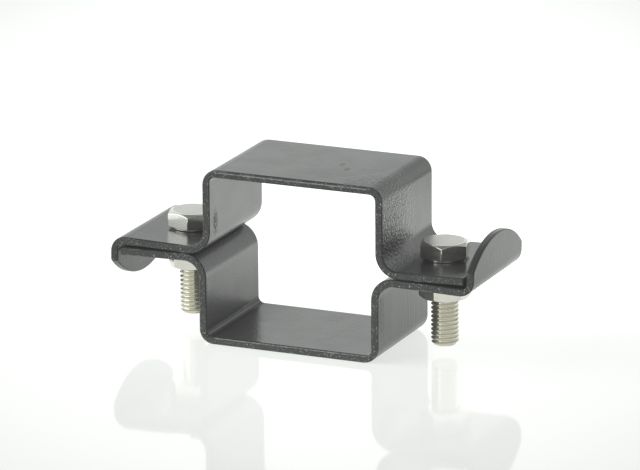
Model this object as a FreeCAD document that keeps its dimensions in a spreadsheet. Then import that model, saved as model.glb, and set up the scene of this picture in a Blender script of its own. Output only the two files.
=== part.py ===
"""Two-piece clamp that holds fence panels on both sides of a square post.

Two identical halves are folded from steel strip. Each half is a channel over half of the post with a
flange on either side: one flange ends plain, the other in a round-ended lip that hooks over the plain end
of the other half. The lower half is the upper one turned half a turn about the post's axis. A bolt and a
nut on each side draw the flanges together.

Millimetres. The origin is the middle of the post's opening: X runs along the flanges, Y along the post and
Z up through the bolts, with their heads on top.
"""
import FreeCAD, Part
import math
import os

import Sketcher
from FreeCAD import Placement, Rotation, Vector

SIZES = (
    # The post and the folded strip
    ("post_side", 50, "side of the square post"),
    ("post_play", 0.8, "play across the post, between the walls"),
    ("clamp_gap", 3, "gap left between the halves once they grip the post"),
    ("sheet", 2.25, "thickness of the strip"),
    ("strip_width", 36.5, "width of the strip, along the post"),
    ("lip_side_corner", 1.6, "inside radius of the channel's corner next to the lip"),
    ("plain_side_corner", 1.9, "inside radius of the channel's corner next to the plain flange"),
    ("flange_bend", 4.6, "inside radius between wall and flange"),
    ("wall_step", 0.3, "how much the wall next to the lip is shorter, and the other one longer"),
    ("splay", 1.2, "degrees that a flange leans away from the parting plane"),
    ("foot_gap", 0.06, "gap between the halves where their bends meet"),
    ("edge_round", 0.4, "radius on the sheared edges"),
    # The lip and the plain end
    ("lip_setback", 14.5, "bolt hole to the inside of the lip"),
    ("lip_bend", 1.4, "inside radius between flange and lip"),
    ("fold_stretch", 0.9, "what stretching adds outside to the radius of that fold and the corner by it"),
    ("lip_height", 14.6, "outside of the flange to the crown of the lip"),
    ("lip_shoulder", 7.2, "outside of the flange to the lip's corners"),
    ("lip_corner", 1.2, "radius on the lip's corners"),
    ("end_gap", 0.8, "gap between a plain end and the lip over it"),
    # The bolts, the nuts and their holes
    ("thread_diameter", 7.9, "diameter over the thread"),
    ("thread_gap", 0.05, "radial gap between bolt and nut"),
    ("half_offset", 0.68, "how much further out the lip flange's hole is, and nearer the plain one's"),
    ("bolt_slide", 0.65, "how far the bolts have slid sideways in their holes"),
    ("hole_gap", 0.15, "radial gap that is left in the holes after that slide"),
    ("bolt_length", 25.3, "length under the head"),
    ("bolt_point", 0.8, "chamfer on the bolt's end"),
    ("hex_flats", 13, "width across the flats of heads and nuts"),
    ("hex_face", 12, "diameter of the flat face inside a hexagon's chamfer"),
    ("hex_chamfer", 30, "degrees of that chamfer"),
    ("head_height", 5.1, "height of a bolt's head with its washer face"),
    ("head_room", 0.9, "gap between a head's washer face and the bend beside it, before the bolts slide"),
    ("washer_face", 11.9, "diameter of the washer face under a head"),
    ("washer_step", 0.65, "height of that washer face"),
    ("nut_height", 6.5, "height of a nut"),
    ("nut_countersink", 0.5, "countersink at both ends of a nut's bore"),
    ("seat_gap", 0.02, "gap under a head and over a nut where they meet the flange"),
    # How far the hexagons happen to be turned
    ("left_head_turn", 43, "degrees"),
    ("right_head_turn", 45, "degrees"),
    ("left_nut_turn", 7, "degrees"),
    ("right_nut_turn", 28, "degrees"),
)

# Sizes that follow from those above
HALF_WIDTH = "(sizes.post_side + sizes.post_play) / 2"
CHANNEL_DEPTH = "(sizes.post_side - sizes.clamp_gap) / 2"
FOOT_RADIUS = "(sizes.flange_bend + sizes.sheet)"
FOOT_CORNER = f"(sizes.foot_gap / 2 - {FOOT_RADIUS} * (tan(sizes.splay) + 1 / cos(sizes.splay) - 1))"
LIP_FOOT = f"({FOOT_CORNER} + sizes.wall_step)"
PLAIN_FOOT = f"({FOOT_CORNER} - sizes.wall_step)"
HEX_RADIUS = "(sizes.hex_flats / sqrt(3))"
BOLT_X = f"({HALF_WIDTH} + sizes.sheet + sizes.flange_bend + sizes.washer_face / 2 + sizes.head_room)"
LIP_X = f"({BOLT_X} + sizes.half_offset + sizes.lip_setback)"
PLAIN_X = f"({LIP_X} - sizes.end_gap - 2 * sizes.half_offset)"
HOLE_RADIUS = "(sizes.thread_diameter / 2 + sizes.bolt_slide + sizes.hole_gap)"


def flange_top(foot, reach):
    """Height of a flange's outside at a distance from the middle of its half, above the foot of its wall."""
    return f"({foot} + tan(sizes.splay) * ({reach} - {HALF_WIDTH}) + sizes.sheet / cos(sizes.splay))"


CROWN_Z = f"({flange_top(LIP_FOOT, LIP_X)} - sizes.lip_height)"
LIP_RISE = "(sizes.lip_height - sizes.lip_shoulder)"
LIP_RADIUS = f"((sizes.strip_width ^ 2 / 4 + {LIP_RISE} ^ 2) / (2 * {LIP_RISE}))"
# The cut that rounds the lip reaches past the strip's sides and past the end of the lip's blank
CUT_REACH = "(sizes.strip_width / 2 + sizes.sheet)"
CUT_DEPTH = f"(2 * sizes.sheet - {CROWN_Z})"

# How a sketch counts the points of a line or arc, and its own axes and origin
START, END, CENTRE = range(1, 4)
LEVEL_AXIS, UPRIGHT_AXIS = range(-1, -3, -1)
ORIGIN = (LEVEL_AXIS, START)

# A distance that counts as none
TOUCHING = 1e-4

doc = FreeCAD.newDocument("panel_clamp")
table = doc.addObject("Spreadsheet::Sheet", "sizes")
for row, (alias, number, meaning) in enumerate(SIZES, start=1):
    table.set(f"A{row}", meaning)
    table.set(f"B{row}", str(number))
    table.setAlias(f"B{row}", alias)
doc.recompute()


def value(expression):
    """What an expression comes to with the sizes as they stand."""
    return float(table.evalExpression(expression))


def new_sketch(body, name, role):
    """An empty sketch on one of the body's own origin planes."""
    plane = next(item for item in body.Origin.OriginFeatures if item.Role == role)
    sketch = body.newObject("Sketcher::SketchObject", name)
    sketch.AttachmentSupport = (plane, [""])
    sketch.MapMode = "FlatFace"
    return sketch


def tie(sketch, kind, *ends):
    """A constraint of the sketch."""
    return sketch.addConstraint(Sketcher.Constraint(kind, *ends))


def bind(sketch, name, expression, kind, *ends):
    """A named dimension of the sketch, driven by an expression."""
    amount = value(expression)
    if kind == "Angle":
        amount = math.radians(amount)
    index = tie(sketch, kind, *ends, amount)
    sketch.renameConstraint(index, name)
    sketch.setExpression(f"Constraints.{name}", expression)


def outline_sketch(body, name, corners):
    """A closed outline beside the Z axis, each corner given by expressions for its X and Z."""
    sketch = new_sketch(body, name, "XZ_Plane")
    points = [Vector(value(across), value(along), 0) for across, along in corners]
    for start, end in zip(points, points[1:] + points[:1]):
        sketch.addGeometry(Part.LineSegment(start, end))
    for index, (across, along) in enumerate(corners):
        following = (index + 1) % len(corners)
        tie(sketch, "Coincident", index, END, following, START)
        bind(sketch, f"across_{index}", across, "DistanceX", *ORIGIN, index, START)
        bind(sketch, f"along_{index}", along, "DistanceY", *ORIGIN, index, START)
    return sketch


def turned(body, kind, name, corners):
    """A full turn of an outline about the body's Z axis, which adds material or takes it away."""
    outline = outline_sketch(body, f"{name}_outline", corners)
    feature = body.newObject(kind, name)
    feature.Profile = outline
    feature.ReferenceAxis = (outline, ["V_Axis"])
    feature.Angle = 360
    outline.Visibility = False
    doc.recompute()


# The legs of the folded strip, in order from the lip to the plain end
LEGS = ("lip", "lip_flange", "lip_wall", "top", "plain_wall", "plain_flange")


def strip_sketch(body):
    """Section of the strip with sharp corners: a near face towards the post and a far face away from it."""
    sketch = new_sketch(body, "strip_section", "XZ_Plane")
    wall, depth, thick = value(HALF_WIDTH), value(CHANNEL_DEPTH), value("sizes.sheet")
    lip_x, lip_foot, plain_x, plain_foot = value(LIP_X), value(LIP_FOOT), value(PLAIN_X), value(PLAIN_FOOT)
    # Each corner of the near face, and the way from it to the far face
    corners = (
        (-lip_x, value(CROWN_Z), -1, 0),
        (-lip_x, lip_foot, -1, 1),
        (-wall, lip_foot, -1, 1),
        (-wall, depth, -1, 1),
        (wall, depth, 1, 1),
        (wall, plain_foot, 1, 1),
        (plain_x, plain_foot, 0, 1),
    )
    near_points = [Vector(x, z, 0) for x, z, out, up in corners]
    far_points = [Vector(x + out * thick, z + up * thick, 0) for x, z, out, up in corners]

    def chain(points):
        lines = [sketch.addGeometry(Part.LineSegment(*ends)) for ends in zip(points, points[1:])]
        for line, following in zip(lines, lines[1:]):
            tie(sketch, "Coincident", line, END, following, START)
        return dict(zip(LEGS, lines))

    near, far = chain(near_points), chain(far_points)
    for leg, end, corner in (("lip", START, 0), ("plain_flange", END, -1)):
        cap = sketch.addGeometry(Part.LineSegment(near_points[corner], far_points[corner]))
        tie(sketch, "Coincident", cap, START, near[leg], end)
        tie(sketch, "Coincident", cap, END, far[leg], end)
        tie(sketch, "Perpendicular", cap, near[leg])
    for leg in LEGS:
        tie(sketch, "Parallel", near[leg], far[leg])
        bind(sketch, f"{leg}_sheet", "sizes.sheet", "Distance", far[leg], START, near[leg])

    lip, lip_flange, lip_wall, top, plain_wall, plain_flange = (near[leg] for leg in LEGS)
    tie(sketch, "Vertical", lip_wall)
    tie(sketch, "Vertical", plain_wall)
    tie(sketch, "Perpendicular", lip, lip_flange)
    tie(sketch, "Symmetric", top, START, top, END, UPRIGHT_AXIS)
    bind(sketch, "inner_width", f"2 * {HALF_WIDTH}", "DistanceX", top, START, top, END)
    bind(sketch, "channel_depth", CHANNEL_DEPTH, "DistanceY", *ORIGIN, top, START)
    lip_side_height, plain_side_height = (f"{CHANNEL_DEPTH} - {foot}" for foot in (LIP_FOOT, PLAIN_FOOT))
    bind(sketch, "lip_wall_height", lip_side_height, "DistanceY", lip_wall, START, lip_wall, END)
    bind(sketch, "plain_wall_height", plain_side_height, "DistanceY", plain_wall, END, plain_wall, START)
    bind(sketch, "lip_splay", "-sizes.splay", "Angle", lip_flange)
    bind(sketch, "plain_splay", "sizes.splay", "Angle", plain_flange)
    bind(sketch, "lip_x", LIP_X, "DistanceX", lip_flange, START, *ORIGIN)
    bind(sketch, "lip_length", "sizes.lip_height", "Distance", lip)
    bind(sketch, "plain_x", PLAIN_X, "DistanceX", *ORIGIN, plain_flange, END)
    doc.recompute()
    return sketch, near, far


def edges_across(shape, points):
    """Names of the edges that run along Y through the given points of the section."""
    names = []
    for number, edge in enumerate(shape.Edges, start=1):
        ends = [vertex.Point for vertex in edge.Vertexes]
        for point in points:
            if all(end.isEqual(Vector(point.x, end.y, point.y), TOUCHING) for end in ends):
                names.append(f"Edge{number}")
    return names


def lip_corner_edges(shape):
    """Names of the short edges along X, through the sheet, at the two corners of the lip."""
    side = value("sizes.strip_width / 2")
    names = []
    for number, edge in enumerate(shape.Edges, start=1):
        start, end = edge.Vertexes[0].Point, edge.Vertexes[-1].Point
        along_x = abs(abs(end.x - start.x) - edge.Length) < TOUCHING
        on_side = abs(abs(start.y) - side) < TOUCHING
        if along_x and on_side and edge.Length < value("2 * sizes.sheet"):
            names.append(f"Edge{number}")
    return names


def rounded(body, name, edges, radius):
    """A fillet on the named edges of the body's last feature, or on all that are sharp."""
    base = body.Tip
    fillet = body.newObject("PartDesign::Fillet", name)
    fillet.Base = (base, edges)
    fillet.UseAllEdges = not edges
    fillet.setExpression("Radius", radius)
    doc.recompute()


def lip_cut_sketch(body):
    """What is trimmed off below the lip's round end."""
    sketch = new_sketch(body, "lip_end", "YZ_Plane")
    crown, radius = value(CROWN_Z), value(LIP_RADIUS)
    reach, low = value(CUT_REACH), -value(CUT_DEPTH)
    swing = math.asin(reach / radius)
    shoulder = crown + radius - radius * math.cos(swing)
    circle = Part.Circle(Vector(0, crown + radius, 0), Vector(0, 0, 1), radius)
    arc = sketch.addGeometry(Part.ArcOfCircle(circle, -math.pi / 2 - swing, -math.pi / 2 + swing))
    points = [Vector(reach, shoulder), Vector(reach, low), Vector(-reach, low), Vector(-reach, shoulder)]
    right, base, left = [sketch.addGeometry(Part.LineSegment(*ends)) for ends in zip(points, points[1:])]
    for line, following in ((arc, right), (right, base), (base, left), (left, arc)):
        tie(sketch, "Coincident", line, END, following, START)
    tie(sketch, "Vertical", right)
    tie(sketch, "Vertical", left)
    tie(sketch, "PointOnObject", arc, CENTRE, UPRIGHT_AXIS)
    tie(sketch, "Symmetric", base, START, base, END, UPRIGHT_AXIS)
    bind(sketch, "lip_radius", LIP_RADIUS, "Radius", arc)
    bind(sketch, "lip_centre", f"{CROWN_Z} + {LIP_RADIUS}", "DistanceY", *ORIGIN, arc, CENTRE)
    bind(sketch, "cut_width", f"2 * {CUT_REACH}", "DistanceX", base, END, base, START)
    bind(sketch, "cut_depth", CUT_DEPTH, "DistanceY", base, START, *ORIGIN)
    doc.recompute()
    return sketch


def hole_sketch(body):
    """The two bolt holes, seen from above."""
    sketch = new_sketch(body, "bolt_holes", "XY_Plane")
    for name, side in (("lip", -1), ("plain", 1)):
        across = f"{side} * {BOLT_X} - sizes.half_offset"
        centre = Vector(value(across), 0, 0)
        hole = sketch.addGeometry(Part.Circle(centre, Vector(0, 0, 1), value(HOLE_RADIUS)))
        tie(sketch, "PointOnObject", hole, CENTRE, LEVEL_AXIS)
        bind(sketch, f"{name}_hole_x", across, "DistanceX", *ORIGIN, hole, CENTRE)
        bind(sketch, f"{name}_hole_radius", HOLE_RADIUS, "Radius", hole)
    doc.recompute()
    return sketch


def cut_through(body, name, sketch, sides):
    """A cut right through the body on one or both sides of the sketch, which has to take material away."""
    before = body.Shape.Volume
    pocket = body.newObject("PartDesign::Pocket", name)
    pocket.Profile = sketch
    pocket.Type = "ThroughAll"
    pocket.SideType = sides
    sketch.Visibility = False
    doc.recompute()
    if body.Shape.Volume >= before:
        raise RuntimeError(f"{name} cuts nothing")


def build_bracket(label, turn, slide):
    """One half of the clamp, with its lip on the left before it is turned about the post's axis."""
    body = doc.addObject("PartDesign::Body", label)
    body.Label = label
    section, near, far = strip_sketch(body)
    strip = body.newObject("PartDesign::Pad", "strip")
    strip.Profile = section
    strip.SideType = "Symmetric"
    strip.setExpression("Length", "sizes.strip_width")
    section.Visibility = False
    doc.recompute()

    def corner(face, leg):
        return section.getPoint(face[leg], END)

    plain, stretched = "sizes.sheet", "sizes.sheet + sizes.fold_stretch"
    folds = (
        ("lip_bend", [corner(near, "lip")], [corner(far, "lip")], stretched),
        ("lip_side_corner", [corner(near, "lip_wall")], [corner(far, "lip_wall")], stretched),
        ("plain_side_corner", [corner(near, "top")], [corner(far, "top")], plain),
        ("flange_bend", [corner(far, "lip_flange"), corner(far, "plain_wall")],
         [corner(near, "lip_flange"), corner(near, "plain_wall")], plain),
    )
    for name, inside, outside, added in folds:
        rounded(body, f"{name}_inside", edges_across(body.Shape, inside), f"sizes.{name}")
        rounded(body, f"{name}_outside", edges_across(body.Shape, outside), f"sizes.{name} + {added}")

    cut_through(body, "lip_trim", lip_cut_sketch(body), "One side")
    rounded(body, "lip_corners", lip_corner_edges(body.Shape), "sizes.lip_corner")
    rounded(body, "sheared_edges", [], "sizes.edge_round")
    cut_through(body, "bolt_clearance", hole_sketch(body), "Symmetric")
    body.Placement = Placement(Vector(), Rotation(Vector(0, 1, 0), turn))
    body.setExpression("Placement.Base.x", slide)
    return body


def chamfer_triangle(face, outwards):
    """Corners of the ring that a hexagon's chamfer takes off, at the height of its flat face."""
    rim = "sizes.hex_face / 2"
    slope = f"(sizes.hex_flats - {rim}) * tan(sizes.hex_chamfer)"
    return ((rim, face), ("sizes.hex_flats", face), ("sizes.hex_flats", f"{face} - {outwards} * {slope}"))


def hexagon(body, base, height):
    """The six-sided part of a head or nut, between its base and its face."""
    prism = body.newObject("PartDesign::AdditivePrism", "hexagon")
    prism.Polygon = 6
    prism.setExpression("Circumradius", HEX_RADIUS)
    prism.setExpression("Height", height)
    prism.setExpression("Placement.Base.z", base)
    doc.recompute()


def place_upright(body, side, height, turn):
    """Stands a bolt or a nut on its axis, turned by its own angle."""
    body.setExpression("Placement.Base.x", f"sizes.bolt_slide + {side} * {BOLT_X}")
    body.setExpression("Placement.Base.z", height)
    body.setExpression("Placement.Rotation.Angle", turn)


def build_bolt(label, side, foot, turn):
    """A hexagon bolt with its bearing face at its own zero; the thread is a plain cylinder."""
    body = doc.addObject("PartDesign::Body", label)
    body.Label = label
    radius, tip = "sizes.thread_diameter / 2", "-sizes.bolt_length"
    washer, step = "sizes.washer_face / 2", "sizes.washer_step"
    turned(body, "PartDesign::Revolution", "shank", (
        ("0", tip),
        (f"{radius} - sizes.bolt_point", tip),
        (radius, f"{tip} + sizes.bolt_point"),
        (radius, "0"),
        (washer, "0"),
        (washer, step),
        ("0", step),
    ))
    hexagon(body, step, f"sizes.head_height - {step}")
    turned(body, "PartDesign::Groove", "head_chamfer", chamfer_triangle("sizes.head_height", 1))
    reach = f"{BOLT_X} + {side} * (sizes.bolt_slide - sizes.half_offset) + {washer}"
    place_upright(body, side, f"{flange_top(foot, reach)} + sizes.seat_gap", turn)
    return body


def build_nut(label, side, foot, turn):
    """A hexagon nut, chamfered on both faces, with its upper face under the lower flange."""
    body = doc.addObject("PartDesign::Body", label)
    body.Label = label
    height, bore = "sizes.nut_height", "(sizes.thread_diameter / 2 + sizes.thread_gap)"
    mouth, sink = f"{bore} + sizes.nut_countersink", "sizes.nut_countersink"
    hexagon(body, "0", height)
    turned(body, "PartDesign::Groove", "lower_chamfer", chamfer_triangle("0", -1))
    turned(body, "PartDesign::Groove", "upper_chamfer", chamfer_triangle(height, 1))
    turned(body, "PartDesign::Groove", "bore", (
        ("0", "0"),
        (mouth, "0"),
        (bore, sink),
        (bore, f"{height} - {sink}"),
        (mouth, height),
        ("0", height),
    ))
    reach = f"{BOLT_X} + {side} * (sizes.bolt_slide + sizes.half_offset) + sizes.hex_face / 2"
    place_upright(body, side, f"-{flange_top(foot, reach)} - sizes.seat_gap - {height}", turn)
    return body


pieces = [
    build_bracket("upper_bracket", 0, "sizes.half_offset"),
    build_bracket("lower_bracket", 180, "-sizes.half_offset"),
]
for name, side, upper_foot, lower_foot in (
    ("left", -1, LIP_FOOT, PLAIN_FOOT),
    ("right", 1, PLAIN_FOOT, LIP_FOOT),
):
    pieces.append(build_bolt(f"{name}_bolt", side, upper_foot, f"sizes.{name}_head_turn"))
    pieces.append(build_nut(f"{name}_nut", side, lower_foot, f"sizes.{name}_nut_turn"))
doc.recompute()

for item in doc.Objects:
    if {"Invalid", "Error"} & set(item.State):
        raise RuntimeError(f"{item.Label} failed: {item.State}")
for piece in pieces:
    if piece.Shape.isNull() or not piece.Shape.isValid() or len(piece.Shape.Solids) != 1:
        raise RuntimeError(f"{piece.Label} is not one sound solid")

os.makedirs("parts", exist_ok=True)
for piece in pieces:
    piece.Shape.exportStep(f"parts/{piece.Label}.step")
    box = piece.Shape.optimalBoundingBox()
    print(f"{piece.Label}: {piece.Shape.Volume:.0f} mm3, X {box.XMin:.2f} to {box.XMax:.2f}, "
          f"Y {box.YMin:.2f} to {box.YMax:.2f}, Z {box.ZMin:.2f} to {box.ZMax:.2f}")
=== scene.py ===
"""Looks, light and camera for the clamp: coated folded strips, threaded bolts and nuts on a white table."""
import math

import bmesh
import bpy
from mathutils import Matrix, Vector


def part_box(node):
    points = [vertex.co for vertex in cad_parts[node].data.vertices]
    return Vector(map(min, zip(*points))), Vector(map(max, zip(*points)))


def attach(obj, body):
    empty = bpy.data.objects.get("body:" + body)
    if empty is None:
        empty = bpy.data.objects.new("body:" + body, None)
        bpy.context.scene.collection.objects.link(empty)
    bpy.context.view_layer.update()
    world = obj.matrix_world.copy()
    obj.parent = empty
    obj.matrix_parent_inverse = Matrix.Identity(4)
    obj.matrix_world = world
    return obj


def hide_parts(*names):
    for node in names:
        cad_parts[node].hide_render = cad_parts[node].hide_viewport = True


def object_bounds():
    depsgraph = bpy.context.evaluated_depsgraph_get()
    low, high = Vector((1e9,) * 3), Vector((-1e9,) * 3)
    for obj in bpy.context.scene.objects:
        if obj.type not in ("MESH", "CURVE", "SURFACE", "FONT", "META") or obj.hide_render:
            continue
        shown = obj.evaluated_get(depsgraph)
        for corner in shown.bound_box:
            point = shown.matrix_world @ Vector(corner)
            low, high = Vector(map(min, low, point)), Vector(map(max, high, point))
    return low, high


MM = 0.001

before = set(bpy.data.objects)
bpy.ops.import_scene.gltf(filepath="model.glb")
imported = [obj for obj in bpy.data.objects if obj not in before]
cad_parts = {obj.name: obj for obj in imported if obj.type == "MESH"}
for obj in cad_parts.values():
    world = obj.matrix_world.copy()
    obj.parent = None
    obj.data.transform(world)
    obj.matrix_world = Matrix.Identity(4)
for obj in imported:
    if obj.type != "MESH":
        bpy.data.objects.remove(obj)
cad_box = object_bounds()


def mm(*numbers):
    """Millimetres as metres."""
    return tuple(number * MM for number in numbers)


def add_object(name, data):
    """A new object in the scene."""
    made = bpy.data.objects.new(name, data)
    bpy.context.scene.collection.objects.link(made)
    return made


# The camera, fitted to the folded edges in a picture 640 pixels wide
PICTURE_WIDTH = 640
FOCAL_PIXELS = 5804
SENSOR_MM = 36
AZIMUTH, ELEVATION, ROLL = (math.radians(degrees) for degrees in (23.76, 16.10, -0.41))
CAMERA_DISTANCE = 1.65
AIM_RIGHT, AIM_UP = mm(1.22, 4.23)
STRAY_LIGHT = 0.024


def add_camera():
    """A camera that looks past the middle of the clamp by the aim's two offsets."""
    back = Vector((
        math.sin(AZIMUTH) * math.cos(ELEVATION),
        -math.cos(AZIMUTH) * math.cos(ELEVATION),
        math.sin(ELEVATION),
    ))
    right = Vector((math.cos(AZIMUTH), math.sin(AZIMUTH), 0))
    level = Matrix((right, back.cross(right), back)).transposed()
    turn = level @ Matrix.Rotation(ROLL, 3, "Z")
    eye = turn @ Vector((AIM_RIGHT, AIM_UP, CAMERA_DISTANCE))
    data = bpy.data.cameras.new("camera")
    data.sensor_width = SENSOR_MM
    data.lens = FOCAL_PIXELS / PICTURE_WIDTH * SENSOR_MM
    camera = add_object("camera", data)
    camera.matrix_world = Matrix.Translation(eye) @ turn.to_4x4()
    bpy.context.scene.camera = camera


def set_film():
    """Plain tones, with the little stray light that a white studio sends into the lens."""
    view = bpy.context.scene.view_settings
    view.view_transform = "Standard"
    view.use_curve_mapping = True
    view.curve_mapping.black_level = (-STRAY_LIGHT, -STRAY_LIGHT, -STRAY_LIGHT)
    view.curve_mapping.update()


# Which sockets of a mix node take and give colours
MIX_FACTOR, MIX_FIRST, MIX_SECOND, MIX_RESULT = 0, 6, 7, 2


class Shader:
    """A material whose nodes are added one at a time, with sockets given by name."""

    def __init__(self, name):
        self.material = bpy.data.materials.new(name)
        self.start(self.material, "Principled BSDF", "Object")

    def start(self, owner, surface, place):
        """Finds the owner's surface node, and the output that says where on it a point lies."""
        owner.use_nodes = True
        self.tree = owner.node_tree
        self.surface = self.tree.nodes[surface]
        self.place = self.add("ShaderNodeTexCoord").outputs[place]

    def add(self, kind, sockets=None, **settings):
        """A new node with its settings and sockets filled in."""
        node = self.tree.nodes.new(kind)
        for name, value in settings.items():
            setattr(node, name, value)
        self.set(node, sockets or {})
        return node

    def set(self, node, sockets):
        """Gives each socket a value, or a link from another node."""
        for name, value in sockets.items():
            socket = node.inputs[name]
            if isinstance(value, bpy.types.NodeSocket):
                self.tree.links.new(value, socket)
            else:
                socket.default_value = value

    def noise(self, size, detail=2.0, place=None):
        """Noise whose grains are about so many metres across, from 0 to 1."""
        sockets = {"Vector": place or self.place, "Scale": 1 / size, "Detail": detail}
        return self.add("ShaderNodeTexNoise", sockets).outputs["Fac"]

    def ramp(self, value, low, high, to_low=0.0, to_high=1.0):
        """The value between low and high taken smoothly to another range."""
        sockets = {
            "Value": value,
            "From Min": low,
            "From Max": high,
            "To Min": to_low,
            "To Max": to_high,
        }
        node = self.add("ShaderNodeMapRange", sockets, interpolation_type="SMOOTHSTEP")
        return node.outputs["Result"]

    def fall(self, value, low, high):
        """1 up to low, and from there smoothly down to 0 at high."""
        return self.ramp(value, low, high, 1, 0)

    def band(self, value, start, full, last, end):
        """1 between full and last, and smoothly down to 0 on either side."""
        return self.times(self.ramp(value, start, full), self.fall(value, last, end))

    def math(self, operation, *values):
        """One or more values put through an operation, two at a time."""
        result = values[0]
        for other in values[1:] or (0.0,):
            node = self.add("ShaderNodeMath", operation=operation)
            self.set(node, {0: result, 1: other})
            result = node.outputs["Value"]
        return result

    def times(self, *values):
        return self.math("MULTIPLY", *values)

    def plus(self, *values):
        return self.math("ADD", *values)

    def minus(self, first, second):
        return self.math("SUBTRACT", first, second)

    def most(self, *values):
        return self.math("MAXIMUM", *values)

    def size(self, value):
        """The value without its sign."""
        return self.math("ABSOLUTE", value)

    def blend(self, factor, first, second):
        """One colour turning into another."""
        node = self.add("ShaderNodeMix", data_type="RGBA")
        self.set(node, {MIX_FACTOR: factor, MIX_FIRST: first, MIX_SECOND: second})
        return node.outputs[MIX_RESULT]

    def stretched(self, x, y, z):
        """The place, with each axis multiplied."""
        node = self.add("ShaderNodeMapping", {"Vector": self.place, "Scale": (x, y, z)})
        return node.outputs["Vector"]

    def axis(self, name):
        """How far the place lies along X, Y or Z."""
        return self.add("ShaderNodeSeparateXYZ", {"Vector": self.place}).outputs[name]

    def along(self, way):
        """How far the place lies along a direction."""
        node = self.add("ShaderNodeVectorMath", operation="DOT_PRODUCT")
        self.set(node, {0: self.place, 1: way})
        return node.outputs["Value"]

    def distance(self, spot, squeeze):
        """How far the place lies from a spot, with each axis multiplied."""
        node = self.add("ShaderNodeVectorMath", operation="DISTANCE")
        self.set(node, {0: self.stretched(*squeeze), 1: spot * squeeze})
        return node.outputs["Value"]

    def bump(self, height, depth, under=None):
        """A normal from heights of 0 to 1, each as deep as told, over another normal if one is given."""
        sockets = {"Height": height, "Distance": depth}
        if under is not None:
            sockets["Normal"] = under
        return self.add("ShaderNodeBump", sockets).outputs["Normal"]


# Two limits together say where something starts and where it is full, or where it fades and where it has ended.
# Most noise lies within these:
NOISE_RANGE = 0.3, 0.7
# Where the upper half, and the bolts' heads, start
UPPER_Z = mm(0, 2)

# The coat's own unevenness: orange peel, slow drift, pits and coarser clots
PEEL_SIZE, PEEL_DETAIL, PEEL_HEIGHT = 0.6 * MM, 1.5, 0.03 * MM
DRIFT_SIZE, DRIFT_DETAIL = 8 * MM, 3
PIT_SIZE, CLOT_SIZE = mm(0.4, 0.75)
COAT_TONES = (0.020, 0.023, 0.021, 1), (0.028, 0.031, 0.029, 1)
COAT_IOR = 1.7
COAT_ROUGHNESS, PIT_ROUGHNESS, WORN_ROUGHNESS = (0.17, 0.23), 0.06, 0.3
COAT_GLOSS, DULL_GLOSS = 0.5, 0.3

# The sheared edges are the outermost faces across the strip, between rounds darkened by a lower gloss as
# painted shade; bare specks, and the painted glint specks, are paler
EDGE = mm(18.18, 18.245)
ROUND = mm(17.88, 17.98)
ROUND_GLOSS = 0.3
EDGE_SPECKS = 0.6, 0.74
SPECK_AND_GLINT_TONE = (0.34, 0.35, 0.345, 1)
EDGE_HEIGHT = 0.15 * MM
# The borders of those edges are chipped in places
BORDER = mm(18.13, 18.17, 18.24, 18.249)
CHIP_PATCHES, CHIP_CLOTS, CHIP_MOST = (0.5, 0.64), (0.38, 0.55), 0.4
# A pale broken line runs along the edges of the top and of the floor, at these heights
PALE_LINES = mm(24.82, 24.92, 25.08, 25.18), mm(-23.96, -23.88, -23.74, -23.64)
PALE_LINE_REACH = mm(22.5, 24.5)
PALE_LINE_CLOTS, PALE_LINE_SHARES = (0.3, 0.6), (0.2, 0.9)

# A scuff inside the upper channel, two small dull spots on the top, and die marks on the lower half's right
# wall
SCUFF_SPOT, SCUFF_SQUEEZE, SCUFF_REACH = Vector((-24.7, -14.0, 9.2)) * MM, Vector((1, 1, 0.45)), mm(0.4, 2.4)
SCUFF_CLOTS = 0.46, 0.54
DENT_SPOTS = Vector((8.0, 1.2, 25.75)) * MM, Vector((11.2, -3.3, 25.75)) * MM
DENT_SQUEEZE, DENT_REACH, DENT_GLOSS = Vector((1, 0.5, 1)), mm(0.4, 1.2), 0.3
DIE_X, DIE_Z = mm(22, 25), mm(-6, -2)
DIE_SIZE, DIE_STRETCH, DIE_HEIGHT = 0.9 * MM, 0.03, 0.07 * MM

# The coat is grainier towards the upper half's right front, with a little of that grain everywhere; where it is
# grainy, pale glint specks are painted into the colour as painted highlights
GRAIN_WAY, GRAIN_REACH, GRAIN_END_X = Vector((0.75, -0.66, 0)), mm(14, 30), mm(31, 34)
GRAIN_LEAST, GRAIN_HEIGHT = 0.1, 0.42 * MM
GLINT_CLOTS, GLINT_MOST = (0.54, 0.7), 0.16
# It is duller on the upper left flange, the top's right front and the lips, and glossier on the lower floor
DULL_FLANGE_X = mm(-36, -30)
DULL_TOP_Z, DULL_TOP_REACH, DULL_TOP_END_X = mm(23, 25), mm(-6, 22), mm(24, 27)
LIP_X, LIP_GLOSS = mm(53, 54), 0.8
LOW_Z, LOW_GLOSS = mm(-23, -21), 1.13
# It is softer on the lower half's left wall, more so further down, and on its left end
SOFT_WALL_X, SOFT_WALL_Z, SOFT_WALL_SHARES = mm(-23, -12), mm(-21, -8), (0.45, 0.1)
SOFT_END_X, SOFT_END_SHARE = mm(-54, -50), 0.25
# Only the middle of the lower half's inside left fold, which is tightest there, catches the light; both sides
# of that middle are darkened by a lower gloss, as painted shade
FOLD_X, FOLD_Z = mm(-26.08, -23.5)
FOLD_REACH, FOLD_LINE, FOLD_BACK = mm(1.5, 2.8), mm(0.05, 0.5), mm(-0.8, -0.2)


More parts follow.
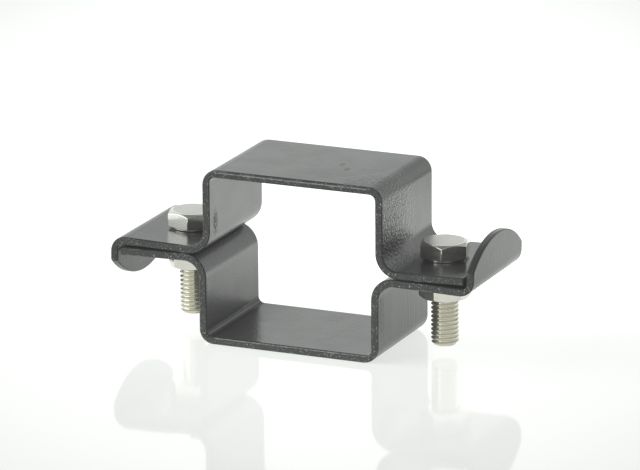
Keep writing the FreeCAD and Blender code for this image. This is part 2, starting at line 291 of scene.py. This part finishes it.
class Coat(Shader):
    """Dark grey powder coat: semi-gloss with orange peel, thin and specked along the sheared edges."""

    def __init__(self):
        super().__init__("powder_coat")
        self.x, self.z = self.axis("X"), self.axis("Z")
        self.side = self.size(self.axis("Y"))
        self.drift = self.noise(DRIFT_SIZE, DRIFT_DETAIL)
        self.pits = self.noise(PIT_SIZE)
        self.clots = self.noise(CLOT_SIZE)
        self.upper = self.ramp(self.z, *UPPER_Z)
        self.edge = self.ramp(self.side, *EDGE)
        rightward = self.ramp(self.along(GRAIN_WAY), *GRAIN_REACH)
        self.grain = self.times(rightward, self.upper, self.fall(self.x, *GRAIN_END_X))
        near = self.fall(self.distance(SCUFF_SPOT, SCUFF_SQUEEZE), *SCUFF_REACH)
        self.scuff = self.times(near, self.ramp(self.clots, *SCUFF_CLOTS))
        self.set(self.surface, {
            "Base Color": self.colour(),
            "Roughness": self.roughness(),
            "Specular IOR Level": self.gloss(),
            "IOR": COAT_IOR,
            "Normal": self.normal(),
        })

    def specks(self):
        """Where the coat has come off the edges, and a pale broken line along the edges of the top and of the
        floor.
        """
        border = self.band(self.side, *BORDER)
        patches = self.ramp(self.drift, *CHIP_PATCHES, 0, CHIP_MOST)
        bare = self.times(border, patches, self.ramp(self.clots, *CHIP_CLOTS))
        broken = self.ramp(self.clots, *PALE_LINE_CLOTS, *PALE_LINE_SHARES)
        level = self.fall(self.size(self.x), *PALE_LINE_REACH)
        outermost = self.ramp(self.side, ROUND[1], EDGE[0])
        for heights in PALE_LINES:
            line = self.times(self.band(self.z, *heights), broken, level, outermost)
            bare = self.most(bare, line)
        return self.most(bare, self.times(self.edge, self.ramp(self.pits, *EDGE_SPECKS)))

    def colour(self):
        tone = self.blend(self.drift, *COAT_TONES)
        # Painted highlights: pale glint specks in the colour where the grainy coat would catch the light
        painted_glints = self.times(
            self.grain,
            self.ramp(self.clots, *GLINT_CLOTS, 0, GLINT_MOST),
            self.fall(self.side, *ROUND),
        )
        return self.blend(self.most(self.specks(), painted_glints), tone, SPECK_AND_GLINT_TONE)

    def roughness(self):
        wall = self.times(
            self.fall(self.x, *SOFT_WALL_X),
            self.ramp(self.z, *SOFT_WALL_Z, *SOFT_WALL_SHARES),
        )
        end = self.ramp(self.x, *SOFT_END_X, SOFT_END_SHARE, 0)
        soft = self.times(self.most(wall, end), self.minus(1.0, self.upper))
        smooth = self.ramp(self.drift, *NOISE_RANGE, *COAT_ROUGHNESS)
        worn = self.most(self.edge, self.scuff, soft)
        return self.plus(
            smooth,
            self.times(self.pits, PIT_ROUGHNESS),
            self.times(worn, WORN_ROUGHNESS),
        )

    def dark(self):
        """Painted shade, given as a lower gloss: the rounds beside the edges, and both sides of the lower left
        fold's middle.
        """
        rounds = self.minus(self.ramp(self.side, *ROUND), self.edge)
        across, over = self.minus(self.x, FOLD_X), self.minus(self.z, FOLD_Z)
        fold = self.times(
            self.fall(self.plus(across, over), *FOLD_REACH),
            self.ramp(self.math("MINIMUM", across, over), *FOLD_BACK),
            self.ramp(self.size(self.minus(across, over)), *FOLD_LINE),
        )
        return self.most(rounds, fold)

    def gloss(self):
        flange = self.times(self.fall(self.x, *DULL_FLANGE_X), self.upper)
        top = self.times(
            self.ramp(self.z, *DULL_TOP_Z),
            self.fall(self.x, *DULL_TOP_END_X),
            self.ramp(self.along(GRAIN_WAY), *DULL_TOP_REACH),
        )
        dull = self.most(flange, top, self.edge, self.scuff)
        dents = [
            self.ramp(self.distance(spot, DENT_SQUEEZE), *DENT_REACH, DENT_GLOSS, 1)
            for spot in DENT_SPOTS
        ]
        return self.times(
            self.ramp(dull, 0, 1, COAT_GLOSS, DULL_GLOSS),
            self.ramp(self.dark(), 0, 1, 1, ROUND_GLOSS),
            *dents,
            self.ramp(self.size(self.x), *LIP_X, 1, LIP_GLOSS),
            self.ramp(self.z, *LOW_Z, LOW_GLOSS, 1),
        )

    def normal(self):
        peel = self.noise(PEEL_SIZE, PEEL_DETAIL)
        grains = self.times(self.most(self.grain, GRAIN_LEAST), self.clots)
        die = self.times(
            self.ramp(self.x, *DIE_X),
            self.fall(self.z, *DIE_Z),
            self.noise(DIE_SIZE, place=self.stretched(1, 1, DIE_STRETCH)),
        )
        worn = self.times(self.most(self.edge, self.scuff), self.clots)
        normal = self.bump(peel, PEEL_HEIGHT)
        for height, depth in ((grains, GRAIN_HEIGHT), (die, DIE_HEIGHT), (worn, EDGE_HEIGHT)):
            normal = self.bump(height, depth, under=normal)
        return normal


# Each steel has a clean tone and a duller one; the heads' flat tops are matt, with a painted highlight, a
# near-white colour, on the rim round them
HEAD_TONES = (0.72, 0.712, 0.675, 1), (0.64, 0.632, 0.595, 1)
# The shank is coloured warmer than the head: that extra warmth is painted light, standing in for warm light
# thrown up from the table
SHANK_TONES = (0.69, 0.672, 0.585, 1), (0.61, 0.593, 0.505, 1)
NUT_TONES = (0.72, 0.707, 0.645, 1), (0.64, 0.627, 0.565, 1)
TOP_RISE, TOP_TONE = (0.992, 0.998), (0.63, 0.623, 0.598, 1)
RIM_RISE, RIM_HIGHLIGHT_TONE = (0.96, 0.98), (0.95, 0.94, 0.90, 1)
MATT_ROUGHNESS = 0.22
STEEL_METAL = 0.9
STEEL_PATCH_SIZE, STEEL_PATCH_DETAIL, STEEL_ROUGHNESS = 2.5 * MM, 4, (0.09, 0.15)
STEEL_GRAIN_SIZE, STEEL_GRAIN_ROUGHNESS, STEEL_GRAIN_HEIGHT = 0.25 * MM, 0.05, 0.0015 * MM
DRAWN_SIZE, DRAWN_STRETCH, DRAWN_HEIGHT = 0.3 * MM, 0.08, 0.003 * MM


def steel_material(name, tones):
    """Plain stainless, cold formed: bright, a little warm, with fine drawing marks and duller patches; the
    thread's extra warmth is painted light, and the rims round the flat faces carry a painted highlight.
    """
    shader = Shader(name)
    patches = shader.noise(STEEL_PATCH_SIZE, STEEL_PATCH_DETAIL)
    grain = shader.noise(STEEL_GRAIN_SIZE)
    drawn = shader.noise(DRAWN_SIZE, place=shader.stretched(1, 1, DRAWN_STRETCH))
    facing = shader.add("ShaderNodeNewGeometry").outputs["True Normal"]
    rise = shader.add("ShaderNodeSeparateXYZ", {"Vector": facing}).outputs["Z"]
    top = shader.ramp(rise, *TOP_RISE)
    rim = shader.minus(shader.ramp(rise, *RIM_RISE), top)
    head = shader.ramp(shader.axis("Z"), *UPPER_Z)
    tone = shader.blend(head, shader.blend(patches, *tones), shader.blend(patches, *HEAD_TONES))
    tone = shader.blend(top, tone, TOP_TONE)
    # Painted highlight: the rim round each flat face is coloured near white
    tone = shader.blend(rim, tone, RIM_HIGHLIGHT_TONE)
    rough = shader.plus(
        shader.ramp(patches, *NOISE_RANGE, *STEEL_ROUGHNESS),
        shader.times(grain, STEEL_GRAIN_ROUGHNESS),
        shader.times(shader.most(top, rim), MATT_ROUGHNESS),
    )
    normal = shader.bump(drawn, DRAWN_HEIGHT)
    normal = shader.bump(grain, STEEL_GRAIN_HEIGHT, under=normal)
    shader.set(shader.surface, {
        "Base Color": tone,
        "Metallic": STEEL_METAL,
        "Roughness": rough,
        "Normal": normal,
    })
    return shader.material


# The studio lies along the camera's own directions. The table is lit from below, by a wide glow behind the
# clamp and a lamp to its right, each given by how far it lies to the right and to the back.
STUDIO_RIGHT = Vector((math.cos(AZIMUTH), math.sin(AZIMUTH), 0))
STUDIO_BACK = Vector((-math.sin(AZIMUTH), math.cos(AZIMUTH), 0))
GLOW_PLACE, GLOW_SIZE, GLOW_MOST = mm(0, 150), mm(340, 700), 0.78
LAMP_PLACE, LAMP_SIZE, LAMP_MOST = mm(100, 95), mm(150, 105), 0.8
TABLE_HALF = 3.0
TABLE_TONES = (0.50, 0.50, 0.49, 1), (0.52, 0.52, 0.51, 1)
TABLE_LIGHT = (0.975, 1, 0.975, 1)
TABLE_ROUGHNESS, TABLE_IOR = 0.05, 1.45
HAZE_SIZE, HAZE_DETAIL = 300 * MM, 1


def pool(shader, place, size, most):
    """Light that falls off smoothly from a place on the table."""
    squares = []
    for way, middle, reach in zip((STUDIO_RIGHT, STUDIO_BACK), place, size):
        share = shader.math("DIVIDE", shader.minus(shader.along(way), middle), reach)
        squares.append(shader.times(share, share))
    away = shader.math("SQRT", shader.plus(*squares))
    return shader.ramp(away, 0.0, 1.0, most, 0.0)


def floor_material():
    """A white glossy table top with light under it."""
    shader = Shader("table")
    glow = pool(shader, GLOW_PLACE, GLOW_SIZE, GLOW_MOST)
    lamp = pool(shader, LAMP_PLACE, LAMP_SIZE, LAMP_MOST)
    shader.set(shader.surface, {
        "Base Color": shader.blend(shader.noise(HAZE_SIZE, HAZE_DETAIL), *TABLE_TONES),
        "Roughness": TABLE_ROUGHNESS,
        "IOR": TABLE_IOR,
        "Emission Color": TABLE_LIGHT,
        "Emission Strength": shader.plus(glow, lamp),
    })
    return shader.material


def add_floor(material):
    """The table top, level with the clamp's lowest face."""
    height = cad_box[0].z
    mesh = bpy.data.meshes.new("floor")
    corners = [(x * TABLE_HALF, y * TABLE_HALF, height) for x, y in ((-1, -1), (1, -1), (1, 1), (-1, 1))]
    mesh.from_pydata(corners, [], [(0, 1, 2, 3)])
    mesh.materials.append(material)
    add_object("floor", mesh)


class Sky(Shader):
    """The world's light, whose place is the direction looked in."""

    def __init__(self, name):
        self.world = bpy.data.worlds.new(name)
        self.start(self.world, "Background", "Generated")


# Strengths from front to back or from left to right, and the heights between which the light changes
SKY_SPREAD = -0.8, 0.8
WALL_LIGHT, HIGH_LIGHT = (0.8, 1.03), (1.0, 0.45)
FRONT_SPREAD, FRONT_SHARES = (-0.6, 0.1), (0.15, 1.0)
WALL_TOP = 0.34, 0.58
OVERHEAD, OVERHEAD_SHARES = (0.7, 0.95), (1.0, 0.25)
WINDOW_WAY, WINDOW_EDGE, WINDOW_LIGHT = Vector((-0.797, -0.498, 0.342)), (0.78, 0.94), 2.4
SKY_TONE = (0.972, 1, 0.978, 1)


def add_world():
    """Pale walls all round, dimmer higher up and dark overhead, with a window on the left."""
    sky = Sky("studio")
    up, back, right = sky.axis("Z"), sky.along(STUDIO_BACK), sky.along(STUDIO_RIGHT)
    walls = sky.ramp(back, *SKY_SPREAD, *WALL_LIGHT)
    high = sky.times(
        sky.ramp(right, *SKY_SPREAD, *HIGH_LIGHT),
        sky.ramp(back, *FRONT_SPREAD, *FRONT_SHARES),
    )
    light = sky.plus(walls, sky.times(sky.ramp(up, *WALL_TOP), sky.minus(high, walls)))
    light = sky.times(light, sky.ramp(up, *OVERHEAD, *OVERHEAD_SHARES))
    window = sky.ramp(sky.along(WINDOW_WAY), *WINDOW_EDGE, 0, WINDOW_LIGHT)
    sky.set(sky.surface, {"Color": SKY_TONE, "Strength": sky.plus(light, window)})
    bpy.context.scene.world = sky.world


# Bolts and nuts, in millimetres; turns in degrees
HEX_FLATS, HEX_FACE, HEX_CHAMFER, HEX_EDGE = 13.0, 12.0, math.radians(30), 0.3
HEX_EASE, HEX_BASE_SHARE = 0.4, 0.985
RIM_WIDTH, RIM_DROP, RIM_CREASE = 0.4, 0.06, 0.12
WASHER_FACE, WASHER_STEP, WASHER_ROUND = 11.9, 0.65, 0.1
HEAD_HEIGHT, BOLT_LENGTH, BOLT_POINT = 5.1, 25.3, 0.8
THREAD_RADIUS, THREAD_PITCH, THREAD_DEPTH = 3.95, 1.25, 0.72
NUT_HEIGHT, NUT_BORE, NUT_SINK = 6.5, 4.0, 0.5
HEAD_TURN = {"left": 43, "right": 45}
NUT_TURN = {"left": 7, "right": 28}
# The thread's section, in shares of its pitch from a crest: the flank, how its ends are eased, and the rings
THREAD_FLANK, THREAD_EASE = (0.07, 0.4), 0.06
THREAD_PHASES = -0.42, -0.36, -0.25, -0.14, -0.07, 0.0, 0.07, 0.14, 0.25, 0.36, 0.42, 0.5
# Steps round a hexagon's corner and along its flat, which is longer than any step of the corner
CORNER_STEPS, FLAT_STEPS, FLAT_LEAST = 6, 10, 1.0
WELD = 0.0002
SHARP_ANGLE = math.radians(40)


def hexagon_outline():
    """Points round a hexagon with slightly rounded corners."""
    reach = (HEX_FLATS / 2 - HEX_EDGE) / math.cos(math.pi / 6)
    points = []
    for corner in range(6):
        middle = math.radians(60 * corner)
        for step in range(CORNER_STEPS + 1):
            way = middle + math.radians(60 * step / CORNER_STEPS - 30)
            points.append(Vector((
                reach * math.cos(middle) + HEX_EDGE * math.cos(way),
                reach * math.sin(middle) + HEX_EDGE * math.sin(way),
            )))
    outline = []
    for start, end in zip(points, points[1:] + points[:1]):
        steps = FLAT_STEPS if (end - start).length > FLAT_LEAST else 1
        outline += [start.lerp(end, step / steps) for step in range(steps)]
    return outline


def angle_of(point):
    """The way to a point of the outline, from 0 to a full turn."""
    return math.atan2(point.y, point.x) % math.tau


# All rings have their points at the same angles, those of the hexagon
OUTLINE = sorted(hexagon_outline(), key=angle_of)
ANGLES = [angle_of(point) for point in OUTLINE]


def circle(radius, height):
    """A round ring."""
    return [Vector((radius * math.cos(angle), radius * math.sin(angle), height)) for angle in ANGLES]


def level_hexagon(share, height):
    """A level six-sided ring, a share of the hexagon's full size."""
    return [Vector((share * point.x, share * point.y, height)) for point in OUTLINE]


def chamfered(face, outwards, inset, drop):
    """A six-sided ring where the chamfer from the flat face meets the sides."""
    ring = []
    for point in OUTLINE:
        fall = max(0.0, point.length - HEX_FACE / 2) * math.tan(HEX_CHAMFER)
        across = point * (1 - inset / point.length)
        ring.append(Vector((across.x, across.y, face - outwards * (fall + drop))))
    return ring


def face_rings(face, outwards):
    """Rings from a hexagon's sides over the chamfer and the rim to its flat face, above or below."""
    small = HEX_EDGE / 2
    ease = HEX_EASE * small
    crease = RIM_DROP + RIM_CREASE / 2
    return [
        chamfered(face, outwards, 0, small),
        chamfered(face, outwards, ease, -ease),
        circle(HEX_FACE / 2 + RIM_CREASE, face - outwards * crease),
        circle(HEX_FACE / 2, face - outwards * RIM_DROP),
        circle(HEX_FACE / 2 - RIM_WIDTH, face),
    ]


def thread_cut(phase):
    """How deep the thread is cut at a share of its pitch from a crest: 0 at the crest, 1 at the root."""
    start, end = THREAD_FLANK
    share = min(1.0, max(0.0, (abs(phase) - start) / (end - start)))
    return share - THREAD_EASE * math.sin(math.tau * share)


def thread_rings(bottom, top):
    """Rings that follow the helix, cut off level at both ends, with a chamfered point at the lower one."""
    turns = math.ceil((top - bottom) / THREAD_PITCH) + 1
    root = THREAD_RADIUS - THREAD_DEPTH
    rings = []
    for turn in range(-1, turns):
        for phase in THREAD_PHASES:
            radius = THREAD_RADIUS - THREAD_DEPTH * thread_cut(phase)
            ring = []
            for angle in ANGLES + [ANGLES[0] + math.tau]:
                height = bottom + (turn + phase + angle / math.tau) * THREAD_PITCH
                height = min(top, max(bottom, height))
                point = THREAD_RADIUS - BOLT_POINT + (height - bottom)
                neck = root + (top - height)
                reach = min(radius, point, neck)
                ring.append(Vector((reach * math.cos(angle), reach * math.sin(angle), height)))
            rings.append(ring)
    return rings


def turned_mesh(name, rings, caps):
    """A closed mesh through rings of points; a ring may come back to its start one pitch higher."""
    mesh = bmesh.new()
    rows = []
    for ring in rings:
        closed = ring if len(ring) > len(ANGLES) else ring + ring[:1]
        rows.append([mesh.verts.new(point * MM) for point in closed])
    for lower, upper in zip(rows, rows[1:]):
        for index in range(len(ANGLES)):
            mesh.faces.new((lower[index], lower[index + 1], upper[index + 1], upper[index]))
    for row, height in caps:
        centre = mesh.verts.new((0, 0, height * MM))
        for index in range(len(ANGLES)):
            mesh.faces.new((rows[row][index], centre, rows[row][index + 1]))
    bmesh.ops.remove_doubles(mesh, verts=mesh.verts, dist=WELD * MM)
    bmesh.ops.dissolve_degenerate(mesh, edges=mesh.edges, dist=WELD * MM)
    bmesh.ops.recalc_face_normals(mesh, faces=mesh.faces)
    data = bpy.data.meshes.new(name)
    mesh.to_mesh(data)
    mesh.free()
    for polygon in data.polygons:
        polygon.use_smooth = True
    data.set_sharp_from_angle(angle=SHARP_ANGLE)
    return data


def bolt_mesh(name):
    """A hexagon bolt with its bearing face at zero."""
    rings = thread_rings(-BOLT_LENGTH, 0.0)
    rings += [
        circle(THREAD_RADIUS - THREAD_DEPTH, 0),
        circle(WASHER_FACE / 2 - WASHER_ROUND, 0),
        circle(WASHER_FACE / 2, WASHER_ROUND),
        circle(WASHER_FACE / 2, WASHER_STEP),
        level_hexagon(HEX_BASE_SHARE, WASHER_STEP),
        level_hexagon(1, WASHER_STEP + HEX_EDGE / 2),
    ]
    rings += face_rings(HEAD_HEIGHT, 1)
    return turned_mesh(name, rings, ((0, -BOLT_LENGTH), (-1, HEAD_HEIGHT)))


def nut_mesh(name):
    """A hexagon nut, chamfered on both faces, with its lower face at zero."""
    middle = circle(NUT_BORE, NUT_HEIGHT / 2)
    mouth = NUT_BORE + NUT_SINK
    rings = [middle, circle(NUT_BORE, NUT_SINK), circle(mouth, 0)]
    rings += reversed(face_rings(0.0, -1))
    rings += face_rings(NUT_HEIGHT, 1)
    rings += [circle(mouth, NUT_HEIGHT), circle(NUT_BORE, NUT_HEIGHT - NUT_SINK), middle]
    return turned_mesh(name, rings, ())


def add_fastener(name, mesh, node, turn, material, zero_from_top):
    """Stands a bolt or nut where its CAD node is."""
    low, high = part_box(node)
    made = add_object(name, mesh)
    centre = (low + high) / 2
    place = Matrix.Translation((centre.x, centre.y, high.z - zero_from_top * MM))
    made.data.transform(place @ Matrix.Rotation(math.radians(turn), 4, "Z"))
    made.data.materials.append(material)
    made.modifiers.new("flat_faces", "WEIGHTED_NORMAL").keep_sharp = True
    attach(made, "root")
    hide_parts(node)


set_film()
add_camera()
add_world()
add_floor(floor_material())

coat = Coat().material
for node in ("upper_bracket", "lower_bracket"):
    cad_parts[node].data.materials[0] = coat

bolt_steel = steel_material("bolt_steel", SHANK_TONES)
nut_steel = steel_material("nut_steel", NUT_TONES)
for side in ("left", "right"):
    bolt, nut = f"{side}_bolt", f"{side}_nut"
    add_fastener(f"{bolt}_threaded", bolt_mesh(bolt), bolt, HEAD_TURN[side], bolt_steel, HEAD_HEIGHT)
    add_fastener(f"{nut}_rounded", nut_mesh(nut), nut, NUT_TURN[side], nut_steel, NUT_HEIGHT)
